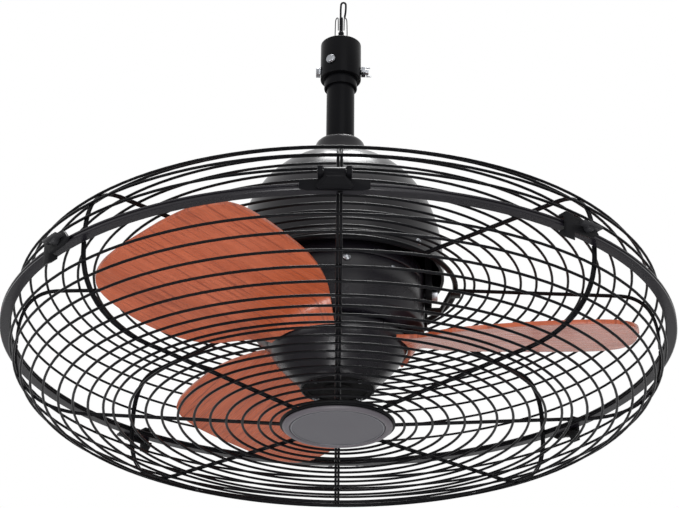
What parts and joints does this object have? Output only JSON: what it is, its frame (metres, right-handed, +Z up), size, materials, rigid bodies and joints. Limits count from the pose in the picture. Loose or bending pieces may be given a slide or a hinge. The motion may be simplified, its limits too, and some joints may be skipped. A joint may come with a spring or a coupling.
{
  "type": "orbital ceiling fan",
  "caption": "Caged blade fan that hangs on a down rod, tilts on a yoke and is carried round in a circle by a geared drive inside its bell housing.",
  "frame": {"origin": "centre of the hanging coupling's top edge, where the ceiling pipe enters", "axes": "+Z up along the down rod; -Y towards the picture's camera, the side of the guard's buckle; +X to its right. The tilt pivots lie along X."},
  "size_m": [0.6, 0.6084, 0.4506],
  "materials": {
    "black_enamel": "satin black enamel",
    "bronze_enamel": "dark bronze enamel, semi-gloss",
    "black_plastic": "satin",
    "zinc": "bright zinc plate",
    "steel": "plain steel",
    "brass": "machined",
    "winding": "varnished copper wire on a steel core",
    "cherry_blade": "cherry-red wood, satin lacquer",
    "badge_grey": "satin grey, bare",
    "pale_bush": "off-white",
    "lead_sheath": "black sheath"
  },
  "bodies": {
    "mast": {"coupling": "black_enamel", "coupling_bolt": "zinc", "coupling_nut": "zinc", "split_pin": "zinc", "set_screw": "zinc", "rod_collar": "black_enamel", "lead_bush": "pale_bush", "lead_bundle": "lead_sheath", "lead_loop": "lead_sheath", "earth_lead_left": "lead_sheath", "earth_lead_right": "lead_sheath", "down_rod": "black_enamel", "bell_housing": "bronze_enamel", "hanger_neck": "steel", "gear_plate": "steel", "orbit_bearing": "steel", "gear_motor": "zinc"},
    "orbit": {"orbit_spindle": "steel", "spindle_nut_upper": "zinc", "spindle_nut_lower": "zinc", "orbit_gear": "brass", "yoke": "black_enamel"},
    "pinion": {"drive_pinion": "brass"},
    "head": {"pivot_bolt_left": "zinc", "pivot_bolt_right": "zinc", "pivot_nut_left": "zinc", "pivot_nut_right": "zinc", "motor_can": "black_enamel", "motor_top_cover": "black_enamel", "stator": "winding", "bearing_upper": "steel", "bearing_lower": "steel", "guard_bracket_left": "black_enamel", "guard_bracket_right": "black_enamel", "upper_guard": "black_enamel", "lower_guard": "black_enamel", "guard_band": "black_enamel", "buckle_base": "black_enamel", "buckle_pin": "zinc", "clip_1": "black_plastic", "clip_2": "black_plastic", "clip_3": "black_plastic", "clip_4": "black_plastic", "clip_screw_1": "steel", "clip_screw_2": "steel", "clip_screw_3": "steel", "clip_screw_4": "steel", "badge_rim": "black_plastic", "badge_disc": "badge_grey"},
    "lever": {"buckle_lever": "black_enamel"},
    "rotor": {"motor_shaft": "zinc", "rotor_core": "steel", "blade_hub": "black_enamel", "hub_nut": "zinc", "hub_cap": "black_plastic", "blade_1": "cherry_blade", "blade_2": "cherry_blade", "blade_3": "cherry_blade"}
  },
  "joints": [
    {"name": "orbit_turn", "type": "hinge", "parent": "mast", "child": "orbit", "pos_m": [0, 0, -0.172], "axis": [0, 0, 1], "continuous": true},
    {"name": "pinion_spin", "type": "hinge", "parent": "mast", "child": "pinion", "pos_m": [0, 0.045, -0.191], "axis": [0, 0, 1], "continuous": true},
    {"name": "head_tilt", "type": "hinge", "parent": "orbit", "child": "head", "pos_m": [0, 0, -0.2685], "axis": [1, 0, 0], "range_deg": [-15, 15]},
    {"name": "rotor_spin", "type": "hinge", "parent": "head", "child": "rotor", "pos_m": [0, 0, -0.32], "axis": [0, 0, 1], "continuous": true},
    {"name": "buckle_open", "type": "hinge", "parent": "head", "child": "lever", "pos_m": [-0.00373, -0.30528, -0.3105], "axis": [-0.9999, 0.0122, 0], "range_deg": [0, 105]}
  ],
  "couplings": [
    {"joint": "pinion_spin", "follows": "orbit_turn", "ratio": -4}
  ]
}
